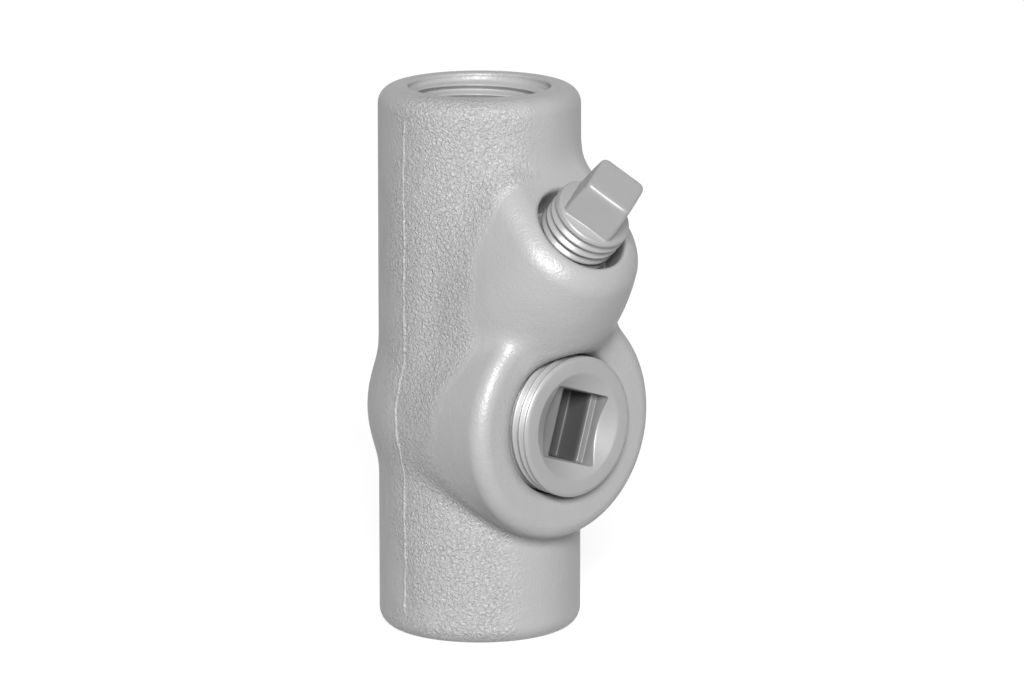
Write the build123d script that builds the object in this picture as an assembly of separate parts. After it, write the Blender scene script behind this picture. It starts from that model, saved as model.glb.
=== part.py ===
"""Sealing and drain fitting for threaded conduit, with its two closure plugs.

The fitting is one casting: a straight barrel with a threaded hub at each end, a round chamber
that bulges out of the barrel, a wide boss on the front of the chamber for the recessed plug,
and a smaller boss that leans up at 45 degrees for the filling plug.

Millimetres. +Z runs up the conduit axis, the origin is the centre of the bottom face, and the
wide boss looks along -Y. The parting plane of the casting is the XZ plane.
"""
from build123d import *
from math import cos, radians, sin, sqrt, tan, tanh
import os

# Heights up the conduit axis: the wide port's axis, the crossing of the leaning port's axis
# above it, and what is left of the barrel above that
boss_height = 42.4
fill_rise = 9.7
top_run = 51.4
fill_height = boss_height + fill_rise
height = fill_height + top_run

# Barrel and hubs
barrel_radius = 19.05
rim_round = 3.4
hub_bore_radius = 12.35
hub_bore_length = 15.0
lead_in_radius = 13.35
lead_in_depth = 1.6
throat_radius = 10.3
throat_length = 3.2
throat_round = 1.2

# Chamber inside the barrel, and the bulge round it
wall = 5.0
bulge_stand = 2.15
bulge_radius = barrel_radius + bulge_stand
bulge_blend = 20.0

# Wide boss and its port
boss_stand = 5.25
boss_face = barrel_radius + boss_stand
boss_radius = 22.2
boss_round = 3.8
boss_draft = 11.7
boss_blend = 3.0
port_mouth_radius = 14.4
port_mouth_chamfer = 1.1
port_inner_end = 6.0

# Leaning boss and its port, measured along an axis that crosses the conduit axis. The boss is
# round below and long above, like a hood, and it widens towards the barrel.
fill_angle = 45.0
fill_face = 40.1
fill_radius = 12.4
fill_round = 4.5
fill_inset = 1.65
fill_spread = barrel_radius - fill_radius - fill_inset
fill_draft = 0.38
fill_arch = 35.4
fill_arch_cut = 20.0
fill_start = 7.2
fill_sections = 4
fill_blend = 4.0
fill_mouth_radius = 9.0
fill_mouth_chamfer = 0.6
fill_inner_end = 12.0

# Threads are modelled as plain cones of the standard pipe taper
taper = 1 / 32
thread_gap = 0.12

# Recessed plug
plug_stand = 3.0
plug_radius = 13.2
plug_length = 13.0
plug_edge = 0.7
dish_radius = 10.19
dish_slope = 30.0
dish_floor_radius = 6.4
socket_width = 13.4
socket_depth = 3.8
socket_turn = 17.5
socket_round = 0.5
slot_width = 7.1
slot_depth = 9.4
slot_offset = 1.7
slot_side_gap = 0.2

# Square-headed plug
cap_stand = 5.0
cap_radius = 8.4
cap_length = 17.0
cap_edge = 0.4
head_width = 10.3
head_draft = 2.5
head_length = 8.0
head_turn = 33.5
head_round = 1.6
head_chamfer = 0.45


def turned(points, place=Location()):
    """Turn a closed outline of (radius, height) points about its own Z axis and put it in place."""
    with BuildPart() as part:
        with BuildSketch(Plane.XZ):
            with BuildLine():
                Polyline(*points, close=True)
            make_face()
        revolve(axis=Axis.Z)
    return place * part.part


def front_place():
    """Place a turned piece so that its Z axis becomes the wide port's axis, out of the front."""
    return Location(Plane(origin=(0, 0, boss_height), x_dir=(1, 0, 0), z_dir=(0, -1, 0)))


def fill_place():
    """Place a turned piece so that its Z axis becomes the filling port's axis."""
    lean = radians(fill_angle)
    return Location(Plane(origin=(0, 0, fill_height), x_dir=(1, 0, 0), z_dir=(0, -cos(lean), sin(lean))))


def barrel_solid():
    """Barrel with the round bulge of the chamber: one outline, turned, in tangent lines and arcs."""
    blend_height = sqrt((bulge_radius + bulge_blend) ** 2 - (barrel_radius + bulge_blend) ** 2)
    share = bulge_radius / (bulge_radius + bulge_blend)
    seam_radius = (barrel_radius + bulge_blend) * share
    seam_height = blend_height * share
    low, high = boss_height - blend_height, boss_height + blend_height
    with BuildPart() as part:
        with BuildSketch(Plane.XZ):
            with BuildLine():
                Line((0, 0), (barrel_radius, 0))
                Line((barrel_radius, 0), (barrel_radius, low))
                TangentArc((barrel_radius, low), (seam_radius, boss_height - seam_height), tangent=(0, 1))
                ThreePointArc(
                    (seam_radius, boss_height - seam_height),
                    (bulge_radius, boss_height),
                    (seam_radius, boss_height + seam_height),
                )
                TangentArc((barrel_radius, high), (seam_radius, boss_height + seam_height), tangent=(0, -1))
                Line((barrel_radius, high), (barrel_radius, height))
                Line((barrel_radius, height), (0, height))
                Line((0, height), (0, 0))
            make_face()
            rims = [v for v in vertices() if v.X > 1 and (v.Y < 0.1 or v.Y > height - 0.1)]
            fillet(rims, rim_round)
        revolve(axis=Axis.Z)
    return part.part


def wide_boss():
    """Wide boss: a cone that draws in behind its rounded face."""
    foot_radius = boss_radius - boss_face * tan(radians(boss_draft))
    with BuildPart() as part:
        with BuildSketch(Plane.XZ):
            with BuildLine():
                Polyline((0, 0), (foot_radius, 0), (boss_radius, boss_face), (0, boss_face), close=True)
            make_face()
            fillet([v for v in vertices() if v.X > 1 and v.Y > boss_face - 0.1], boss_round)
        revolve(axis=Axis.Z)
    return front_place() * part.part


def hood_section(behind):
    """Outline of the leaning boss some way behind its face: a half circle below, a cut arch above."""
    half_width = fill_radius + fill_spread * tanh(behind * fill_draft / fill_spread)
    arch = half_width * fill_arch / fill_radius
    cut_half_width = half_width * sqrt(1 - (fill_arch_cut / arch) ** 2)
    with BuildSketch(Plane.XY.offset(fill_face - behind)) as section:
        Circle(half_width)
        with BuildSketch(mode=Mode.PRIVATE) as upper:
            Ellipse(half_width, arch)
            Rectangle(2 * half_width, fill_arch_cut, align=(Align.CENTER, Align.MIN), mode=Mode.INTERSECT)
        add(upper.sketch)
    return section.sketch


def leaning_boss():
    """Leaning boss: lofted from its face back into the barrel, its face rounded off to the sides."""
    steps = [(fill_face - fill_start) * k / (fill_sections - 1) for k in range(fill_sections)]
    hood = loft([hood_section(behind) for behind in reversed(steps)])
    rim = [e for e in hood.faces().sort_by(Axis.Z)[-1].edges() if e.center().Y < fill_arch_cut - 1]
    return fill_place() * fillet(rim, fill_round)


def run_space():
    """Space along the conduit axis: hub bores, lead-ins, rounded throats and the chamber."""
    chamber_radius = barrel_radius - wall
    throat_bottom = hub_bore_length
    throat_top = throat_bottom + throat_length
    chamber_start = throat_top + (chamber_radius - throat_radius)
    half = [
        (0, 0),
        (lead_in_radius, 0),
        (lead_in_radius, lead_in_depth - (lead_in_radius - hub_bore_radius)),
        (hub_bore_radius, lead_in_depth),
        (hub_bore_radius, throat_bottom),
        (throat_radius + throat_round, throat_bottom),
        (throat_radius, throat_bottom + throat_round),
        (throat_radius, throat_top),
        (chamber_radius, chamber_start),
    ]
    mirrored = [(radius, height - z) for radius, z in reversed(half)]
    space = turned(half + mirrored)
    return space + Pos(0, 0, boss_height) * Sphere(bulge_radius - wall)


def cone(radius_at_face, face, end, grow=0.0):
    """Thread cone from end to face along Z, with the pipe taper, grown outwards by a gap."""
    top = radius_at_face + grow
    bottom = top - (face - end) * taper
    return turned([(0, end), (bottom, end), (top, face), (0, face)])


def port_space():
    """Both ports, with their mouth chamfers."""
    wide_top = boss_face + plug_stand
    wide_bore = cone(plug_radius, wide_top, port_inner_end, thread_gap)
    wide_mouth = turned([
        (0, boss_face - port_mouth_chamfer),
        (plug_radius, boss_face - port_mouth_chamfer),
        (port_mouth_radius, boss_face),
        (port_mouth_radius, wide_top),
        (0, wide_top),
    ])
    fill_top = fill_face + cap_stand
    fill_bore = cone(cap_radius, fill_top, fill_inner_end, thread_gap)
    fill_mouth = turned([
        (0, fill_face - fill_mouth_chamfer),
        (cap_radius, fill_face - fill_mouth_chamfer),
        (fill_mouth_radius, fill_face),
        (fill_mouth_radius, fill_top),
        (0, fill_top),
    ])
    return front_place() * (wide_bore + wide_mouth) + fill_place() * (fill_bore + fill_mouth)


def blended(body, boss, radius):
    """Join a boss to the body and round the seam between them."""
    joined = body + boss
    return fillet(new_edges(body, boss, combined=joined), radius)


def fitting_body():
    """The casting, hollowed by the run and the two ports."""
    body = blended(barrel_solid(), wide_boss(), boss_blend)
    body = blended(body, leaning_boss(), fill_blend)
    return body - run_space() - port_space()


def recess(width, breadth, depth, face, offset=0.0):
    """Straight-sided recess with rounded corners, turned as the socket is and set off to one side."""
    with BuildPart() as part:
        with BuildSketch(Plane.XY.offset(face - depth).rotated((0, 0, -socket_turn))):
            with Locations((offset, 0)):
                RectangleRounded(width, breadth, socket_round)
        extrude(amount=depth)
    return part.part


def square_socket_plug():
    """Recessed plug: tapered shank, dish, a shallow square socket and a deeper slot in its floor."""
    face = boss_face + plug_stand
    end = face - plug_length
    blank = cone(plug_radius, face, end)
    blank = chamfer(blank.edges().group_by(Axis.Z)[-1], plug_edge)
    dish_depth = (dish_radius - dish_floor_radius) * tan(radians(dish_slope))
    dish = turned([
        (0, face - dish_depth),
        (dish_floor_radius, face - dish_depth),
        (dish_radius, face),
        (0, face),
    ])
    socket = recess(socket_width, socket_width, socket_depth, face)
    slot = recess(slot_width, socket_width - 2 * slot_side_gap, slot_depth, face, slot_offset)
    return front_place() * (blank - dish - socket - slot)


def square_head_plug():
    """Filling plug: tapered shank with a slightly drafted square head on its outer end."""
    face = fill_face + cap_stand
    end = face - cap_length
    shank = cone(cap_radius, face, end)
    shank = chamfer(shank.edges().group_by(Axis.Z)[-1], cap_edge)
    with BuildPart() as head:
        with BuildSketch(Plane.XY.offset(face)):
            RectangleRounded(head_width, head_width, head_round, rotation=head_turn)
        extrude(amount=head_length, taper=head_draft)
        chamfer(head.faces().sort_by(Axis.Z)[-1].edges(), head_chamfer)
    return fill_place() * (shank + head.part)


os.makedirs("parts", exist_ok=True)
export_step(fitting_body(), "parts/fitting_body.step")
export_step(square_socket_plug(), "parts/square_socket_plug.step")
export_step(square_head_plug(), "parts/square_head_plug.step")
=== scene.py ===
"""Looks of the conduit sealing fitting: its casting, two pipe plugs, threads and studio.

Shapes are worked out in millimetres in the fitting's own frame and put into meshes in metres.
"""

import bpy
import numpy as np
from mathutils import Matrix, Vector


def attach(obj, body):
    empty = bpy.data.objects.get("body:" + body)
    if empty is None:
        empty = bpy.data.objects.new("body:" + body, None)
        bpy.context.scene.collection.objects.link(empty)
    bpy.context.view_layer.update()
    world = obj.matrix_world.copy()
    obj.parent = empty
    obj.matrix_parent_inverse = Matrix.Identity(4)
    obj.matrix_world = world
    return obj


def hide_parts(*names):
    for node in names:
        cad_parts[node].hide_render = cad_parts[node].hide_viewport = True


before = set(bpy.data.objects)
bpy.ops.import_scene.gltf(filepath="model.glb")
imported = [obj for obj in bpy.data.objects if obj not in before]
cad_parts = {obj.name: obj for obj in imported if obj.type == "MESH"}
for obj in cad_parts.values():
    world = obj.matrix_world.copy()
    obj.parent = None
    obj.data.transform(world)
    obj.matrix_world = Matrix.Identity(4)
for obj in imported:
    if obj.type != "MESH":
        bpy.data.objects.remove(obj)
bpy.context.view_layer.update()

MM = 0.001
FULL_TURN = 2 * np.pi

# The casting: barrel, hubs and chamber
BARREL_R = 19.05
HEIGHT = 103.5
RIM_ROUND = 3.4
HUB_BACK_R = 13.9
HUB_DEPTH = 15.0
THROAT_R = 10.3
THROAT_ROUND = 2.5
CHAMBER_R = 14.05
CHAMBER_Z = 42.4
CHAMBER_ENDS = (21.5, 82.0)
CHAMBER_ROUND = 3.0
BULGE_R = 21.2
BULGE_WALL = 5.0

# The wide boss in front of the chamber
BOSS_FACE = 24.3
BOSS_R = 22.2
BOSS_ROUND = 3.2
PORT_R = 13.45
PORT_INNER = 6.0

# The leaning boss for the filling plug, along an axis that crosses the conduit axis
FILL_LEAN = np.radians(45.0)
FILL_Z = 52.1
FILL_FACE = 40.1
FILL_R = 12.4
FILL_ROUND = 3.8
FILL_DRAFT = 0.38
FILL_SPREAD = 5.0
FILL_TOP_SCALE = 0.35
FILL_BACK = 9.0
FILL_RECESS_R = 9.0
FILL_RECESS_END = 32.5
FILL_PORT_R = 7.7
FILL_PORT_INNER = 10.0

# How softly the parts of the casting run into each other, and how round the mouths' lips are
BLEND_DRUM = 2.6
BLEND_FILL = 4.5
BLEND_BACK = 4.0
LIP_PORT = 3.5
LIP_FILL = 1.7
LIP_RUN = 1.0

# Surface net of the casting
NET_STEP = 0.56
NET_LOW = (-23.2, -42.5, -1.0)
NET_HIGH = (23.2, 22.4, HEIGHT + 1.0)
NET_SLABS = 12
SETTLING_STEPS = 4
LEAST_SLOPE_SQUARED = 0.05

# Pipe threads
HUB_PITCH = 25.4 / 14
FILL_PITCH = 1.9
TAPER = 1 / 32
THREAD_FLAT = 0.12
SHANK_ROWS_PER_TURN = 14

# Lining of the hubs: the rounded mouth, the smooth lead-in and the thread
LINING_PROUD = 0.012
LINING_START_R = 14.7
LINING_START_DEPTH = 0.08
LINING_COLUMNS = 180
LINING_ROWS_PER_TURN = 16
LEAD_R = 13.35
LEAD_DEPTH = 1.4
LEAD_LIP = 0.45
HUB_ROOT_R = 13.2
HUB_THREAD_DEPTH = 1.15
HUB_THREAD_END = 14.6
HUB_THREAD_RISE = 0.4
FIRST_CREST = 2.2
FIRST_CREST_ANGLE = np.radians(47.5)

# Recessed plug
PLUG_FACE = 27.3
PLUG_LENGTH = 15.5
PLUG_MAJOR_R = 13.3
PLUG_FACE_R = 12.5
PLUG_CREST = 2.0
PLUG_CREST_ANGLE = np.radians(200.0)
PLUG_THREAD_DEPTH = 1.0
PLUG_THREAD_TOP = 0.55
PLUG_COLUMNS = 360
DISH_R = 10.19
DISH_SLOPE = np.tan(np.radians(30.0))
SOCKET_HALF = 6.7
SOCKET_FLOOR = 3.8
SOCKET_TURN = np.radians(-17.5)
SLOT_RIGHT = 5.25
SLOT_LEFT = 1.85
SLOT_HALF_HEIGHT = 6.5
SLOT_FLOOR = 9.4
SLOT_EDGE = 0.7

# Square-headed plug
CAP_COLLAR = 45.1
CAP_LENGTH = 17.0
CAP_MAJOR_R = 7.6
CAP_COLLAR_R = 7.25
CAP_CREST = 2.75
CAP_CREST_ANGLE = np.radians(270.0)
CAP_THREAD_DEPTH = 0.8
CAP_THREAD_TOP = 0.9
CAP_COLUMNS = 288
HEAD_HALF = 5.17
HEAD_TOP_HALF = 4.8
HEAD_TOP = 53.1
HEAD_TURN = np.radians(33.5)
HEAD_SHOULDER = HEAD_TOP - 0.7

# Sharpness of the corners of the recesses and of the head, as the power of a power mean
RECESS_CORNERS = 24.0
HEAD_CORNERS = 14.0
HEAD_TOP_CORNERS = 8.0

# Flash along the parting line
FLASH_ENDS = (3.4, HEIGHT - 3.6)
FLASH_HALF_WIDTH = 0.40
FLASH_STAND = 0.30
FLASH_SUNK = 0.02
FLASH_FADE = 3.0
FLASH_ROWS = 260
FLASH_COLUMNS = 12

# Studio
FLOOR_HALF = 4000.0
AMBIENT = 0.04
FLOOR_PALENESS = 0.45
FLOOR_WHITE = 0.88


def smooth_min(a, b, k):
    """The lesser of two distances, rounded over where they differ by less than k."""
    near = np.maximum(k - np.abs(a - b), 0.0) / k
    return np.minimum(a, b) - near**3 * k / 6.0


def smooth_max(a, b, k):
    """The greater of two distances, rounded over in the same way."""
    return -smooth_min(-a, -b, k)


def corner(radial, axial, rounding):
    """Distance from a solid of revolution with a rounded edge, from its two slab distances."""
    a, b = radial + rounding, axial + rounding
    outside = np.hypot(np.maximum(a, 0.0), np.maximum(b, 0.0))
    return np.minimum(np.maximum(a, b), 0.0) + outside - rounding


def front_polar(p):
    """Radius about the wide port's axis and depth along it, outwards from the conduit axis."""
    return np.hypot(p[..., 0], p[..., 2] - CHAMBER_Z), -p[..., 1]


def fill_polar(p):
    """Sideways, upwards and outwards in the leaning port's own frame."""
    y, z = p[..., 1], p[..., 2] - FILL_Z
    out = -y * np.cos(FILL_LEAN) + z * np.sin(FILL_LEAN)
    up = y * np.sin(FILL_LEAN) + z * np.cos(FILL_LEAN)
    return p[..., 0], up, out


def cast_skin(p):
    """Outside of the casting: the barrel, the drum that crosses it, then the hooded leaning boss.

    The barrel is a cylinder with rounded rims. The drum lies along the wide port: a slightly
    drafted cylinder in front, closed behind by half a ball that is the bulge. The hood's half-width
    grows behind its face as a hyperbolic tangent, and its upper half is drawn out.
    """
    x, y, z = p[..., 0], p[..., 1], p[..., 2]
    run = corner(np.hypot(x, y) - BARREL_R, np.abs(z - HEIGHT / 2) - HEIGHT / 2, RIM_ROUND)
    radius, out = front_polar(p)
    radius = np.hypot(radius, np.maximum(y, 0.0))
    width = BULGE_R + (BOSS_R - BULGE_R) * np.maximum(out, 0.0) / BOSS_FACE
    body = smooth_min(run, corner(radius - width, out - BOSS_FACE, BOSS_ROUND), BLEND_DRUM)

    side, up, out = fill_polar(p)
    up = np.where(up > 0, up * FILL_TOP_SCALE, up)
    width = FILL_R + FILL_SPREAD * np.tanh((FILL_FACE - out) * FILL_DRAFT / FILL_SPREAD)
    hood = corner(np.hypot(side, up) - width, out - FILL_FACE, FILL_ROUND)
    hood = smooth_max(hood, y + FILL_BACK, BLEND_BACK)
    return smooth_min(body, hood, BLEND_FILL)


def run_space(p):
    """Space along the conduit: both hub bores, the throats between them and the chamber."""
    x, y, z = p[..., 0], p[..., 1], p[..., 2]
    around = np.hypot(x, y)
    from_end = HEIGHT / 2 - np.abs(z - HEIGHT / 2)
    hub = np.maximum(around - HUB_BACK_R, from_end - HUB_DEPTH)
    space = smooth_min(hub, around - THROAT_R, THROAT_ROUND)
    middle = sum(CHAMBER_ENDS) / 2
    tall = np.abs(z - middle) - (CHAMBER_ENDS[1] - CHAMBER_ENDS[0]) / 2
    chamber = corner(around - CHAMBER_R, tall, CHAMBER_ROUND)
    ball = np.sqrt(around**2 + (z - CHAMBER_Z) ** 2) - (BULGE_R - BULGE_WALL)
    return smooth_min(space, smooth_min(chamber, ball, THROAT_ROUND), THROAT_ROUND)


def front_space(p):
    """The wide port, a plain bore into the chamber."""
    radius, out = front_polar(p)
    return np.maximum(radius - PORT_R, PORT_INNER - out)


def fill_space(p):
    """The leaning port: a wide recess at its mouth, then the narrower bore that holds the thread."""
    side, up, out = fill_polar(p)
    radius = np.hypot(side, up)
    recess = np.maximum(radius - FILL_RECESS_R, FILL_RECESS_END - out)
    return np.minimum(recess, np.maximum(radius - FILL_PORT_R, FILL_PORT_INNER - out))


def casting(p):
    """The casting, negative inside: its skin less the ports and the run, with rounded lips."""
    solid = smooth_max(cast_skin(p), -front_space(p), LIP_PORT)
    solid = smooth_max(solid, -fill_space(p), LIP_FILL)
    return smooth_max(solid, -run_space(p), LIP_RUN)


def slopes(field, p, reach=0.02):
    """Gradient of a field by central differences."""
    parts = []
    for axis in range(3):
        step = np.zeros(3)
        step[axis] = reach
        parts.append((field(p + step) - field(p - step)) / (2 * reach))
    return np.stack(parts, -1)


def to_surface(p):
    """Newton steps along the gradient onto the casting's surface, none longer than a cell."""
    for _ in range(SETTLING_STEPS):
        slope = slopes(casting, p)
        steepness = np.maximum((slope**2).sum(-1, keepdims=True), LEAST_SLOPE_SQUARED)
        move = -casting(p)[..., None] * slope / steepness
        length = np.linalg.norm(move, axis=-1, keepdims=True)
        p = p + move * np.minimum(1.0, NET_STEP / np.maximum(length, 1e-9))
    return p


def surface_net(field, low, high, step):
    """Quads round every grid edge that crosses the surface, with one point in each crossed cell."""
    axes = [np.arange(a, b + step, step) for a, b in zip(low, high)]
    grid = np.stack(np.meshgrid(*axes, indexing="ij"), -1)
    value = np.concatenate([field(slab) for slab in np.array_split(grid, NET_SLABS)])
    inside = value < 0
    shape = tuple(n - 1 for n in value.shape)
    total = np.zeros(shape + (3,))
    count = np.zeros(shape)
    crossings = []
    for axis in range(3):
        a = [slice(None)] * 3
        b = [slice(None)] * 3
        a[axis], b[axis] = slice(0, -1), slice(1, None)
        a, b = tuple(a), tuple(b)
        crossed = inside[a] != inside[b]
        share = value[a] / np.where(crossed, value[a] - value[b], 1.0)
        point = grid[a] + share[..., None] * (grid[b] - grid[a])
        others = [k for k in range(3) if k != axis]
        for shift in ((0, 0), (0, 1), (1, 0), (1, 1)):
            window = [slice(None)] * 3
            for k, s in zip(others, shift):
                window[k] = slice(s, shape[k] + s)
            window = tuple(window)
            total += np.where(crossed[window][..., None], point[window], 0.0)
            count += crossed[window]
        crossings.append((axis, others, crossed, inside[a]))
    used = count > 0
    index = np.full(shape, -1)
    index[used] = np.arange(used.sum())
    points = total[used] / count[used][:, None]
    quads = []
    for axis, (j, k), crossed, start_inside in crossings:
        at = np.argwhere(crossed)
        keep = (at[:, j] > 0) & (at[:, k] > 0) & (at[:, j] < shape[j]) & (at[:, k] < shape[k])
        at = at[keep]
        ring = []
        for dj, dk in ((0, 0), (-1, 0), (-1, -1), (0, -1)):
            cell = at.copy()
            cell[:, j] += dj
            cell[:, k] += dk
            ring.append(index[tuple(cell.T)])
        ring = np.stack(ring, -1)
        flip = start_inside[tuple(at.T)] == (axis == 1)
        ring[flip] = ring[flip][:, ::-1]
        quads.append(ring)
    return points, np.concatenate(quads)


def mesh_object(name, points, faces, smooth=True):
    """An object whose mesh is made from points in millimetres."""
    mesh = bpy.data.meshes.new(name)
    mesh.from_pydata((np.asarray(points) * MM).tolist(), [], [list(map(int, f)) for f in faces])
    mesh.polygons.foreach_set("use_smooth", np.full(len(mesh.polygons), smooth))
    mesh.update()
    piece = bpy.data.objects.new(name, mesh)
    bpy.context.scene.collection.objects.link(piece)
    return piece


def grid_faces(rows, columns, loop_rows=False):
    """Quads of a grid whose columns close on themselves, and whose rows do too if asked."""
    r = np.arange(rows if loop_rows else rows - 1)[:, None]
    c = np.arange(columns)[None, :]
    r2, c2 = (r + 1) % rows, (c + 1) % columns
    quads = np.stack([r * columns + c, r * columns + c2, r2 * columns + c2, r2 * columns + c], -1)
    return quads.reshape(-1, 4)


def lathe_object(name, rows, place, columns, loop_rows=False):
    """A closed surface from rows of (radius by angle, height by angle), placed by a matrix."""
    angle = np.linspace(0, FULL_TURN, columns, endpoint=False)
    radius = np.stack([np.broadcast_to(r, columns) for r, _ in rows])
    height = np.stack([np.broadcast_to(h, columns) for _, h in rows])
    local = np.stack([radius * np.cos(angle), radius * np.sin(angle), height], -1).reshape(-1, 3)
    faces = grid_faces(len(rows), columns, loop_rows).tolist()
    if not loop_rows:
        low, high = len(local), len(local) + 1
        last = (len(rows) - 1) * columns
        centre_low = local[:columns].mean(0) * (0, 0, 1)
        centre_high = local[last:].mean(0) * (0, 0, 1)
        local = np.concatenate([local, [centre_low, centre_high]])
        faces += [(low, (c + 1) % columns, c) for c in range(columns)]
        faces += [(high, last + c, last + (c + 1) % columns) for c in range(columns)]
    return mesh_object(name, local @ place[:, :3].T + place[:, 3], faces)


def port_frame(origin_z, out):
    """Matrix whose third axis runs out of a port and whose first axis is +X."""
    first, out = np.array([1.0, 0, 0]), np.array(out)
    return np.stack([first, np.cross(out, first), out, np.array([0, 0, origin_z])], -1)


FRONT = port_frame(CHAMBER_Z, [0, -1, 0])
FILL = port_frame(FILL_Z, [0, -np.cos(FILL_LEAN), np.sin(FILL_LEAN)])
UPRIGHT = np.eye(4)[:3]


def thread_shape(phase):
    """0 at a thread's root and 1 at its crest, with flats, for a phase counted in turns."""
    t = np.abs((phase % 1.0) * 2 - 1)
    return np.clip((t - THREAD_FLAT) / (1 - 2 * THREAD_FLAT), 0.0, 1.0)


def fade(x):
    """Smooth step from 0 to 1: three times the square less twice the cube."""
    x = np.clip(x, 0.0, 1.0)
    return x * x * (3 - 2 * x)


def box_radius(angle, turn, right, left, half_height, power=RECESS_CORNERS):
    """Polar radius of a box about a point inside it, its corners slightly rounded.

    The radius is the power mean of the distances to the two sides that a direction faces.
    """
    c, s = np.cos(angle - turn), np.abs(np.sin(angle - turn))
    across = np.where(c > 0, c / right, -c / left)
    return (across**power + (s / half_height) ** power) ** (-1 / power)


def hub_lining(name, top):
    """Lining of a hub: its rounded mouth, the smooth lead-in, then the thread down to the throat.

    Radius by depth from the hub's face; the ridge climbs one pitch for each turn.
    """
    angle = np.linspace(0, FULL_TURN, LINING_COLUMNS, endpoint=False)
    lip_r = LEAD_R + LEAD_LIP
    outline = [(LINING_START_R, LINING_START_DEPTH)]
    outline += [(LINING_START_R - 0.3, -LINING_PROUD), (lip_r, -LINING_PROUD)]
    for t in np.radians([20, 40, 60, 80]):
        depth = LEAD_LIP * (1 - np.cos(t)) - LINING_PROUD
        outline.append((LEAD_R + LEAD_LIP * (1 - np.sin(t)), depth))
    outline += [(LEAD_R, LEAD_LIP + 0.1), (LEAD_R, LEAD_DEPTH)]
    first = HEIGHT - FIRST_CREST if top else FIRST_CREST
    for depth in np.arange(LEAD_DEPTH + 0.06, HUB_THREAD_END, HUB_PITCH / LINING_ROWS_PER_TURN):
        z = HEIGHT - depth if top else depth
        phase = (z - first) / HUB_PITCH - (angle - FIRST_CREST_ANGLE) / FULL_TURN
        grow = fade((depth - LEAD_DEPTH) / HUB_THREAD_RISE)
        grow = grow * fade((HUB_THREAD_END - depth) / HUB_PITCH)
        outline.append((HUB_ROOT_R - HUB_THREAD_DEPTH * thread_shape(phase) * grow, depth))
    outline.append((HUB_BACK_R + 0.4, outline[-1][1]))
    rows = [(r, HEIGHT - d if top else d) for r, d in outline]
    if not top:
        rows = rows[::-1]
    return lathe_object(name, rows, UPRIGHT, LINING_COLUMNS, loop_rows=True)


def shank_rows(angle, end, start, major, pitch, depth, crest, crest_angle):
    """Rows of a tapered thread from its inner end to where it runs out under the plug's face.

    Radius is the taper's less the ridge's fall. At crest_angle a crest lies crest below start.
    """
    rows = []
    for h in np.arange(end, start, pitch / SHANK_ROWS_PER_TURN):
        phase = (h - start + crest) / pitch - (angle - crest_angle) / FULL_TURN
        full = major - (start - h) * TAPER
        grow = fade((h - end) / pitch)
        run_out = fade((start - h + 0.35 * pitch) / pitch)
        fall = depth * (1 - thread_shape(phase)) * grow * run_out
        rows.append((full - fall - 0.7 * depth * (1 - grow), h))
    return rows


def square_socket_plug():
    """Recessed plug: threaded shank, face ring, dish, a shallow square socket and its slot.

    A lathe whose radius varies with the angle: round outside, then a square, then an off-centre
    box.
    """
    angle = np.linspace(0, FULL_TURN, PLUG_COLUMNS, endpoint=False)
    face, end = PLUG_FACE, PLUG_FACE - PLUG_LENGTH
    rows = [(r, end) for r in (3.0, 8.0, PLUG_MAJOR_R - 1.9)]
    rows += shank_rows(angle, end + 0.6, face - PLUG_THREAD_TOP, PLUG_MAJOR_R, HUB_PITCH,
                       PLUG_THREAD_DEPTH, PLUG_CREST - PLUG_THREAD_TOP, PLUG_CREST_ANGLE)
    rows += [(PLUG_MAJOR_R, face - 0.5), (PLUG_MAJOR_R - 0.08, face - 0.38)]
    rows += [(PLUG_FACE_R + 0.18, face - 0.07), (PLUG_FACE_R, face - 0.015)]
    rows += [(PLUG_FACE_R - 0.25, face), (DISH_R + 0.2, face), (DISH_R, face - 0.03)]
    square = box_radius(angle, SOCKET_TURN, SOCKET_HALF, SOCKET_HALF, SOCKET_HALF)
    for share in np.linspace(0.06, 1.0, 14):
        radius = DISH_R + (square + 0.16 - DISH_R) * share
        rows.append((radius, face - (DISH_R - radius) * DISH_SLOPE))
    lip, floor = rows[-1][1], face - SOCKET_FLOOR
    wall_top, wall_foot = lip - 0.26, floor + 0.3
    rows += [(square + 0.05, lip - 0.1), (square, wall_top)]
    for share in np.linspace(0.2, 1.0, 5):
        rows.append((square, wall_top + (wall_foot - wall_top) * share))
    rows += [(square - 0.05, floor + 0.1), (square - 0.16, floor)]
    for share in (1.0, 0.6, 0.3, 0.1, 0.0):
        edge = SLOT_EDGE * share
        right, left = SLOT_RIGHT + edge * 0.4, SLOT_LEFT + edge
        slot = box_radius(angle, SOCKET_TURN, right, left, SLOT_HALF_HEIGHT)
        drop = SLOT_EDGE * (1 - np.sqrt(share * (2 - share)))
        rows.append((np.minimum(slot, square - 0.18), floor - drop))
    bottom = face - SLOT_FLOOR
    rows += [(slot, h) for h in np.linspace(floor - 1.2, bottom + 0.5, 6)]
    rows += [(slot - 0.12, bottom + 0.12), (slot - 0.4, bottom)]
    rows += [(slot * share, bottom) for share in (0.6, 0.3, 0.1)]
    return lathe_object("square_socket_plug_finished", rows, FRONT, PLUG_COLUMNS)


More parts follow.
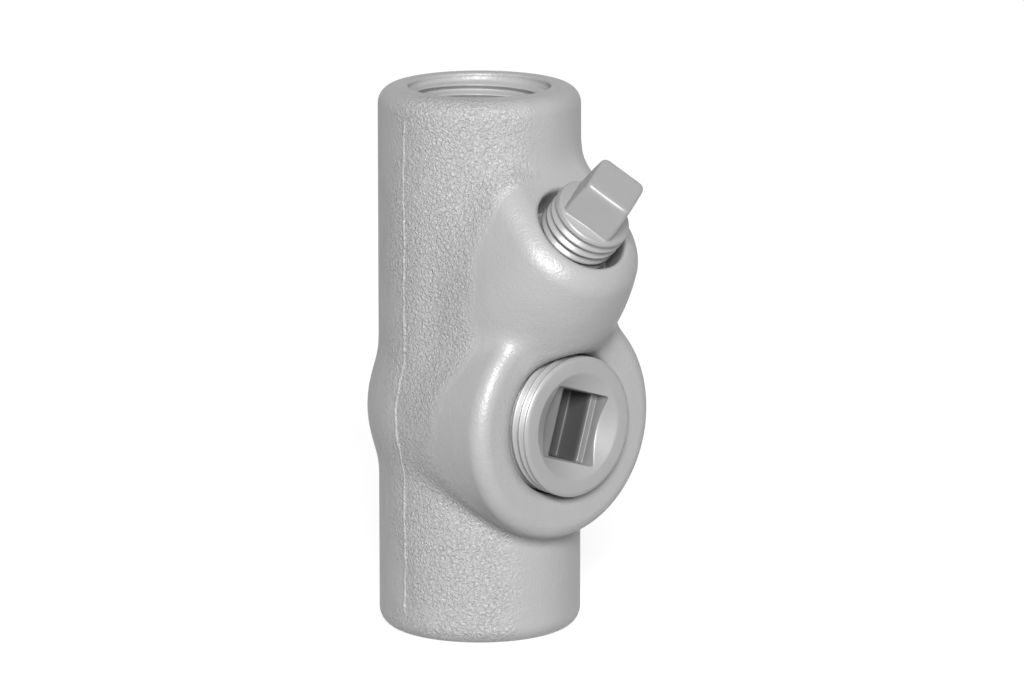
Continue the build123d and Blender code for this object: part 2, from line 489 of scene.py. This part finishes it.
def square_head_plug():
    """Filling plug: threaded shank, a shallow conical collar, then the drafted square head.

    A lathe whose radius varies with the angle above the collar, as a square with rounded corners.
    """
    angle = np.linspace(0, FULL_TURN, CAP_COLUMNS, endpoint=False)
    face, end = CAP_COLLAR, CAP_COLLAR - CAP_LENGTH
    rows = [(r, end) for r in (2.0, 4.0, CAP_MAJOR_R - 1.6)]
    rows += shank_rows(angle, end + 0.5, face - CAP_THREAD_TOP, CAP_MAJOR_R, FILL_PITCH,
                       CAP_THREAD_DEPTH, CAP_CREST - CAP_THREAD_TOP, CAP_CREST_ANGLE)
    edge = CAP_COLLAR_R
    rows += [(edge + 0.12, face - 0.62), (edge, face - 0.46), (edge - 0.22, face - 0.36)]
    base = box_radius(angle, HEAD_TURN, HEAD_HALF, HEAD_HALF, HEAD_HALF, HEAD_CORNERS)
    foot = np.minimum(base, edge - 0.45)
    rows.append((foot + 0.15, face - 0.36 + (edge - foot) * 0.15))
    rows.append((foot + 0.03, face - 0.3 + (edge - foot) * 0.17))
    rows.append((foot, face + 0.2))
    start = face + 0.3
    for share in np.linspace(0.12, 1.0, 8):
        half = HEAD_HALF + (HEAD_TOP_HALF - HEAD_HALF) * share
        corners = HEAD_CORNERS - (HEAD_CORNERS - HEAD_TOP_CORNERS) * fade((share - 0.6) / 0.4)
        row = box_radius(angle, HEAD_TURN, half, half, half, corners)
        rows.append((np.minimum(row, edge - 0.45 + share), start + (HEAD_SHOULDER - start) * share))
    top = box_radius(angle, HEAD_TURN, HEAD_TOP_HALF, HEAD_TOP_HALF, HEAD_TOP_HALF,
                     HEAD_TOP_CORNERS)
    rows += [(top - 0.08, HEAD_SHOULDER + 0.25), (top - 0.32, HEAD_TOP - 0.12)]
    rows.append((top - 0.62, HEAD_TOP))
    rows += [(top * share, HEAD_TOP + 0.03) for share in (0.7, 0.4, 0.15)]
    return lathe_object("square_head_plug_finished", rows, FILL, CAP_COLUMNS)


def parting_flash(name, side):
    """Thin ridge where the two halves of the mould met: an oval carried up the casting's side.

    Steps by the skin's own distance put the path on it, sines make it wander and swell, and it
    fades at both ends.
    """
    low, high = FLASH_ENDS
    height = np.linspace(low, high, FLASH_ROWS)
    reach = np.full(len(height), BARREL_R + 1.0)
    for _ in range(12):
        at = np.stack([side * reach, np.zeros_like(reach), height], -1)
        reach = reach - cast_skin(at)
    wander = 0.12 * np.sin(height * 0.31) + 0.07 * np.sin(height * 1.13 + 1.0)
    swell = 0.85 + 0.25 * np.sin(height * 0.47 + side) * np.sin(height * 0.13)
    turn = np.linspace(0, FULL_TURN, FLASH_COLUMNS, endpoint=False)
    ends = fade((height - low) / FLASH_FADE) * fade((high - height) / FLASH_FADE)
    half_width, stand = FLASH_HALF_WIDTH * swell[:, None], FLASH_STAND * (swell * ends)[:, None]
    x = side * (reach[:, None] + stand * np.cos(turn) - FLASH_SUNK)
    y = wander[:, None] + half_width * np.sin(turn) * side
    z = np.broadcast_to(height[:, None], x.shape)
    points = np.stack([x, y, z], -1).reshape(-1, 3)
    faces = grid_faces(FLASH_ROWS, FLASH_COLUMNS)[:, ::-1].tolist()
    last = (FLASH_ROWS - 1) * FLASH_COLUMNS
    faces += [list(range(FLASH_COLUMNS)), list(range(last + FLASH_COLUMNS - 1, last - 1, -1))]
    return mesh_object(name, points, faces)


def fitting_casting():
    """The whole casting as one mesh, its normals the gradient of the distance it is drawn from."""
    points, quads = surface_net(casting, NET_LOW, NET_HIGH, NET_STEP)
    points = to_surface(points)
    piece = mesh_object("fitting_casting", points, quads)
    slope = slopes(casting, points)
    slope /= np.linalg.norm(slope, axis=-1, keepdims=True)
    piece.data.normals_split_custom_set_from_vertices(slope.tolist())
    return piece


class Socket:
    """A node's output, with arithmetic that adds Math nodes."""

    def __init__(self, nodes, output):
        self.nodes = nodes
        self.output = output

    def _math(self, operation, a, b):
        return self.nodes.add("ShaderNodeMath", {"operation": operation}, {0: a, 1: b})

    def __add__(self, other):
        return self._math("ADD", self, other)

    def __radd__(self, other):
        return self._math("ADD", other, self)

    def __sub__(self, other):
        return self._math("SUBTRACT", self, other)

    def __rsub__(self, other):
        return self._math("SUBTRACT", other, self)

    def __mul__(self, other):
        return self._math("MULTIPLY", self, other)

    def __rmul__(self, other):
        return self._math("MULTIPLY", other, self)


class Nodes:
    """A shader tree's nodes, added one at a time by type, settings and socket values or links."""

    def __init__(self, owner):
        self.owner = owner
        owner.use_nodes = True
        self.tree = owner.node_tree
        self.tree.nodes.clear()

    def add(self, kind, settings=None, sockets=None, output=0):
        """Add a node with its properties and its inputs' values or links, and give one output."""
        node = self.tree.nodes.new(kind)
        for key, value in (settings or {}).items():
            if key == "stops":
                ramp = node.color_ramp
                while len(ramp.elements) < len(value):
                    ramp.elements.new(0.5)
                for element, (place, level) in zip(ramp.elements, value):
                    element.position = place
                    element.color = (level, level, level, 1)
            else:
                setattr(node, key, value)
        for key, value in (sockets or {}).items():
            if isinstance(value, Socket):
                self.tree.links.new(value.output, node.inputs[key])
            else:
                node.inputs[key].default_value = value
        return Socket(self, node.outputs[output] if len(node.outputs) else None)

    def noise(self, place, scale, detail=3.0, roughness=0.5, distortion=0.0):
        sockets = {"Vector": place, "Scale": scale, "Detail": detail, "Roughness": roughness}
        sockets["Distortion"] = distortion
        return self.add("ShaderNodeTexNoise", {}, sockets)

    def ramp(self, value, *stops):
        return self.add("ShaderNodeValToRGB", {"stops": stops}, {"Fac": value})

    def blend(self, share, first, second):
        """Mix of two tones, each a grey level or a socket, by a share from 0 to 1."""
        first, second = [tone if isinstance(tone, Socket) else grey(tone) for tone in (first, second)]
        return self.add("ShaderNodeMix", {"data_type": "RGBA"}, {0: share, 6: first, 7: second}, 2)

    def vector(self, operation, a, b, output=0):
        return self.add("ShaderNodeVectorMath", {"operation": operation}, {0: a, 1: b}, output)

    def seen(self):
        """1 for rays that show a background: from the camera, in gloss and through glass."""
        kinds = ("Is Camera Ray", "Is Glossy Ray", "Is Transmission Ray")
        camera_ray, glossy, through = [self.add("ShaderNodeLightPath", output=k) for k in kinds]
        return camera_ray + glossy + through


def grey(level):
    """A grey with a breath of blue."""
    return (level, level, level * 1.01, 1)


def cast_finish():
    """Silver-grey cast skin: wrinkles, strongest on one side and in patches, over a fine grain.

    The wrinkles stay on the barrel: they end where the skin stands out from it.
    """
    n = Nodes(bpy.data.materials.new("cast_silver_grey"))
    place = n.add("ShaderNodeTexCoord", output="Object")
    x = n.add("ShaderNodeSeparateXYZ", {}, {0: place}, "X")
    y = n.add("ShaderNodeSeparateXYZ", {}, {0: place}, "Y")
    level = n.vector("MULTIPLY", place, (1, 1, 0))
    around = n.vector("DISTANCE", level, (0, 0, 0), "Value")
    beyond = n.add("ShaderNodeMath", {"operation": "MAXIMUM"}, {0: around - 0.0205, 1: 0.0})
    patches = n.noise(place, 60.0, 3.0, 0.55)
    wrinkles = n.noise(place, 1600.0, 3.0, 0.6, 0.7)
    fine = n.noise(place, 2100.0, 2.0, 0.5)
    waves = n.noise(place, 170.0, 2.0, 0.5)
    left_and_front = patches * 0.5 - x * 22.5 - y * 13.0 - beyond * 90.0
    rough_places = n.ramp(left_and_front, (0.54, 0.1), (0.70, 1.0))
    relief = wrinkles * rough_places + fine * 0.12 + waves * 0.35
    bump = n.add("ShaderNodeBump", {}, {"Strength": 1.0, "Distance": 0.0006, "Height": relief})
    shade = n.blend(n.ramp(wrinkles, (0.35, 0.0), (0.65, 1.0)) * rough_places, 0.50, 0.56)
    shader = n.add("ShaderNodeBsdfPrincipled", {}, {
        "Base Color": shade,
        "Metallic": 0.15,
        "Roughness": 0.36 + patches * 0.1,
        "Specular IOR Level": 0.15,
        "Normal": bump,
    })
    n.add("ShaderNodeOutputMaterial", {}, {"Surface": shader})
    return n.owner


def plated_finish():
    """Smooth plated metal, faintly cloudy, with a very fine grain, and painted shade down in the
    socket.
    """
    n = Nodes(bpy.data.materials.new("plug_plating"))
    place = n.add("ShaderNodeTexCoord", output="Object")
    cloud = n.noise(place, 160.0, 3.0, 0.5)
    grain = n.noise(place, 2400.0, 2.0, 0.5)
    relief = grain + cloud * 0.6
    bump = n.add("ShaderNodeBump", {}, {"Strength": 0.12, "Distance": 0.0001, "Height": relief})
    upright = n.vector("MULTIPLY", place, (1, 0, 1))
    radius = n.vector("DISTANCE", upright, (0, 0, CHAMBER_Z * MM), "Value")
    depth = n.add("ShaderNodeSeparateXYZ", {}, {0: place}, "Y") + PLUG_FACE * MM
    # Painted shade: within about 9.5 mm of the plug's axis, and from 2 to 5 mm behind its face
    # inwards, the base colour fades to a dark 0.12 in place of the socket's shadow.
    within = n.ramp(radius * 50.0, (0.46, 1.0), (0.49, 0.0))
    recess = within * n.ramp(depth * 100.0, (0.2, 0.0), (0.5, 1.0))
    shader = n.add("ShaderNodeBsdfPrincipled", {}, {
        "Base Color": n.blend(recess, n.blend(cloud, 0.40, 0.46), 0.12),
        "Metallic": 0.3,
        "Roughness": 0.36 + cloud * 0.1,
        "Specular IOR Level": 0.25,
        "Normal": bump,
    })
    n.add("ShaderNodeOutputMaterial", {}, {"Surface": shader})
    return n.owner


def floor_finish():
    """Floor: a pale grey that takes the shadow, and a glow that makes it white where it is seen."""
    n = Nodes(bpy.data.materials.new("white_floor"))
    pale = n.add("ShaderNodeBsdfDiffuse", {}, {"Color": grey(FLOOR_PALENESS)})
    white = n.add("ShaderNodeEmission", {}, {"Color": grey(FLOOR_WHITE), "Strength": n.seen()})
    both = n.add("ShaderNodeAddShader", {}, {0: pale, 1: white})
    n.add("ShaderNodeOutputMaterial", {}, {"Surface": both})
    return n.owner


def finish(piece, material, body, node):
    """Give a piece its material and slot, the node that it replaces and the body that it rides."""
    piece.data.materials.append(material)
    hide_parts(node)
    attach(piece, body)


def studio():
    """White floor, one broad lamp above the camera and a faint sky that is seen as white."""
    half = FLOOR_HALF
    corners = [(-half, -half, 0), (half, -half, 0), (half, half, 0), (-half, half, 0)]
    floor = mesh_object("floor", corners, [(0, 1, 2, 3)], smooth=False)
    floor.data.materials.append(floor_finish())
    lamp("key", azimuth=-40.0, elevation=26.0, distance=3.0, size=0.9, power=98.0)
    n = Nodes(bpy.data.worlds.new("studio"))
    strength = AMBIENT + n.seen() * (1 - AMBIENT)
    sky = n.add("ShaderNodeBackground", {}, {"Color": (1, 1, 1, 1), "Strength": strength})
    n.add("ShaderNodeOutputWorld", {}, {"Surface": sky})
    bpy.context.scene.world = n.owner
    bpy.context.scene.view_settings.view_transform = "Standard"


def lamp(name, azimuth, elevation, distance, size, power):
    """Square lamp aimed at the fitting, its azimuth counted from the front towards the right."""
    data = bpy.data.lights.new(name, "AREA")
    data.size = size
    data.energy = power
    piece = bpy.data.objects.new(name, data)
    round_, rise = np.radians(azimuth), np.radians(elevation)
    away = Vector((np.sin(round_) * np.cos(rise), -np.cos(round_) * np.cos(rise), np.sin(rise)))
    target = Vector((0, 0, HEIGHT / 2 * MM))
    place = Matrix.Translation(target + away * distance)
    piece.matrix_world = place @ (-away).to_track_quat("-Z", "Y").to_matrix().to_4x4()
    bpy.context.scene.collection.objects.link(piece)


def camera():
    """Long lens, 12 degrees above the level and 42 degrees round to the fitting's left."""
    azimuth, elevation = np.radians(-42.49), np.radians(11.99)
    distance = 1300.0
    across, rise = 6.10, 4.32
    target_z = 50.0
    focal_pixels, picture_width = 6890.7, 1024
    level = np.cos(elevation)
    back = np.array([np.sin(azimuth) * level, -np.cos(azimuth) * level, np.sin(elevation)])
    right = np.array([np.cos(azimuth), np.sin(azimuth), 0.0])
    up = np.cross(back, right)
    eye = right * across + up * rise + np.array([0, 0, target_z]) + back * distance
    data = bpy.data.cameras.new("camera")
    data.sensor_width = 36.0
    data.lens = focal_pixels / picture_width * data.sensor_width
    data.clip_end = 20.0
    view = bpy.data.objects.new("camera", data)
    columns = [Vector(right), Vector(up), Vector(back)]
    turn = Matrix(columns).transposed().to_4x4()
    view.matrix_world = Matrix.Translation(Vector(eye * MM)) @ turn
    bpy.context.scene.collection.objects.link(view)
    bpy.context.scene.camera = view


def main():
    cast = cast_finish()
    plated = plated_finish()
    for piece in (
        fitting_casting(),
        hub_lining("top_hub_thread", top=True),
        hub_lining("bottom_hub_thread", top=False),
        parting_flash("parting_flash_left", -1),
        parting_flash("parting_flash_right", 1),
    ):
        finish(piece, cast, "casting", "fitting_body")
    finish(square_socket_plug(), plated, "drain_plug", "square_socket_plug")
    finish(square_head_plug(), plated, "fill_plug", "square_head_plug")
    studio()
    camera()


main()
